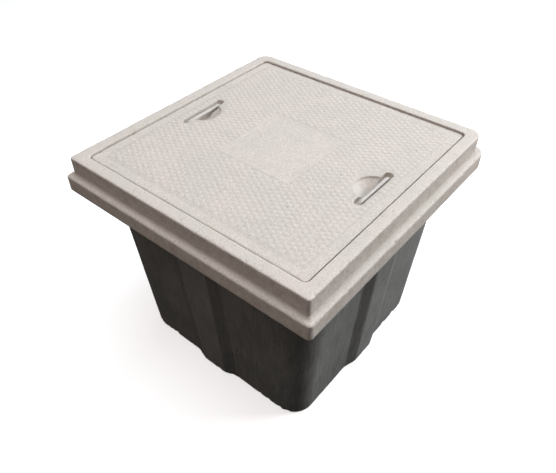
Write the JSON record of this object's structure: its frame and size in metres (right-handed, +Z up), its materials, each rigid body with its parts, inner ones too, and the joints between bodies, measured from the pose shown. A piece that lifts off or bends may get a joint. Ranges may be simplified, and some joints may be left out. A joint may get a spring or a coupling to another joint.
{
  "type": "manhole cover",
  "caption": "Square light cast cover with domed surface and pull-up lift bars, recessed in a cast frame on a tapered dark concrete chamber box.",
  "frame": {"origin": "centre of the box's underside, on the ground", "axes": "+Z up; X along the lift bars; the front bar is near the -Y edge of the lid"},
  "size_m": [0.57, 0.57, 0.447],
  "materials": {
    "dark_concrete": "rough cast, matte",
    "light_concrete": "fine cast, matte",
    "bar_steel": "satin",
    "fitting_steel": "galvanised, dull",
    "rebar_steel": "rusty, rough",
    "seal_rubber": "matte"
  },
  "bodies": {
    "chamber": {"chamber_box": "dark_concrete", "box_hoop_lower": "rebar_steel", "box_hoop_middle": "rebar_steel", "box_hoop_upper": "rebar_steel", "box_upright_1": "rebar_steel", "box_upright_2": "rebar_steel", "box_upright_3": "rebar_steel", "box_upright_4": "rebar_steel", "box_upright_5": "rebar_steel", "box_upright_6": "rebar_steel", "box_upright_7": "rebar_steel", "box_upright_8": "rebar_steel", "bedding_strip": "seal_rubber", "cover_frame": "light_concrete", "frame_ring_bar_lower": "rebar_steel", "frame_ring_bar_upper": "rebar_steel", "seat_gasket": "seal_rubber"},
    "lid": {"lid": "light_concrete", "lid_mesh": "rebar_steel", "guide_sleeve_front_left": "fitting_steel", "guide_sleeve_front_right": "fitting_steel", "guide_sleeve_rear_left": "fitting_steel", "guide_sleeve_rear_right": "fitting_steel"},
    "bar_front": {"lift_bar_front": "bar_steel", "stop_washers_front": "fitting_steel", "stop_nuts_front": "fitting_steel"},
    "bar_rear": {"lift_bar_rear": "bar_steel", "stop_washers_rear": "fitting_steel", "stop_nuts_rear": "fitting_steel"}
  },
  "joints": [
    {"name": "lid_lift", "type": "slide", "parent": "chamber", "child": "lid", "axis": [0, 0, 1], "range_m": [0, 0.2]},
    {"name": "front_bar_lift", "type": "slide", "parent": "lid", "child": "bar_front", "axis": [0, 0, 1], "range_m": [0, 0.03]},
    {"name": "rear_bar_lift", "type": "slide", "parent": "lid", "child": "bar_rear", "axis": [0, 0, 1], "range_m": [0, 0.03]}
  ]
}
